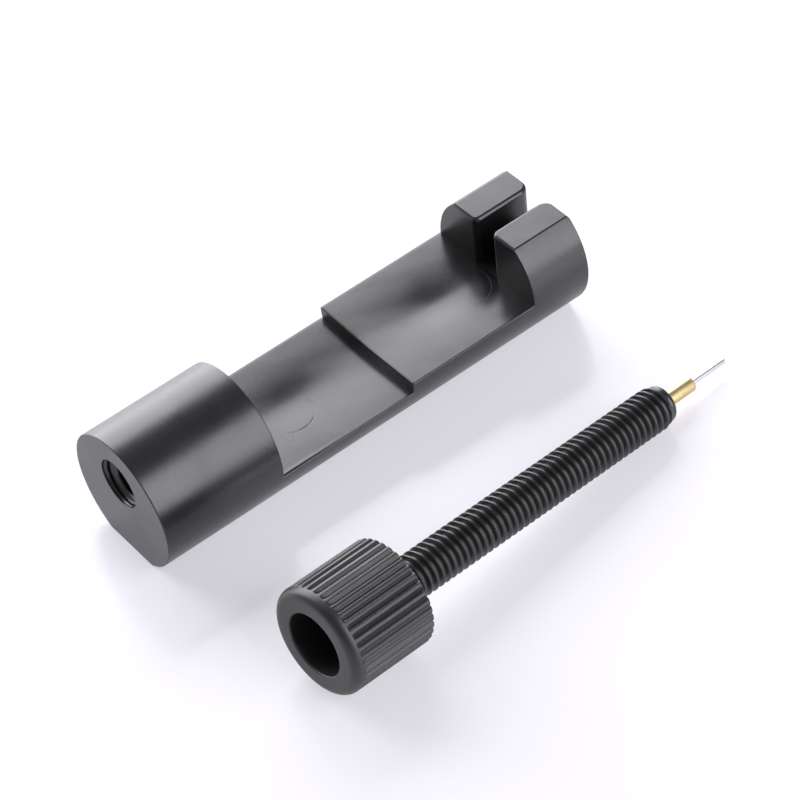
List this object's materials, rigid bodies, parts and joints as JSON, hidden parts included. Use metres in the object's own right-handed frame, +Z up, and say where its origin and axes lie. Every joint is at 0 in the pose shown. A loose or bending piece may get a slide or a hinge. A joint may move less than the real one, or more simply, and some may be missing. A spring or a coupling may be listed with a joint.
{
  "type": "bracelet pin press",
  "caption": "Bench frame with a threaded boss and a slotted head, and its knobbed pressure screw lying beside it, for pushing pins out of bracelet links.",
  "frame": {"origin": "middle of the frame's flat underside, on the surface the object stands on", "axes": "+X from the threaded boss to the slotted head, +Z up; the screw lies on the -Y side"},
  "size_m": [0.0718, 0.0492, 0.0175],
  "materials": {
    "frame_plastic": "semi-gloss moulded black",
    "rod_plastic": "semi-gloss moulded black",
    "knob_plastic": "satin moulded black",
    "brass": "turned, bright",
    "steel": "ground, bright"
  },
  "bodies": {
    "frame": {"frame": "frame_plastic"},
    "tip": {"pin_holder": "brass", "push_pin": "steel"},
    "screw": {"threaded_rod": "rod_plastic", "knob": "knob_plastic"}
  },
  "joints": [
    {"name": "screw_feed", "type": "slide", "parent": "frame", "child": "tip", "axis": [0.9925, 0.0781, -0.0942], "range_m": [-0.04, 0]},
    {"name": "screw_spin", "type": "hinge", "parent": "tip", "child": "screw", "pos_m": [-0.0297, -0.033, 0.00821], "axis": [0.9925, 0.0781, -0.0942], "range_deg": [-14400, 0]}
  ],
  "couplings": [
    {"joint": "screw_spin", "follows": "screw_feed", "rad_per_m": 6283.2}
  ]
}
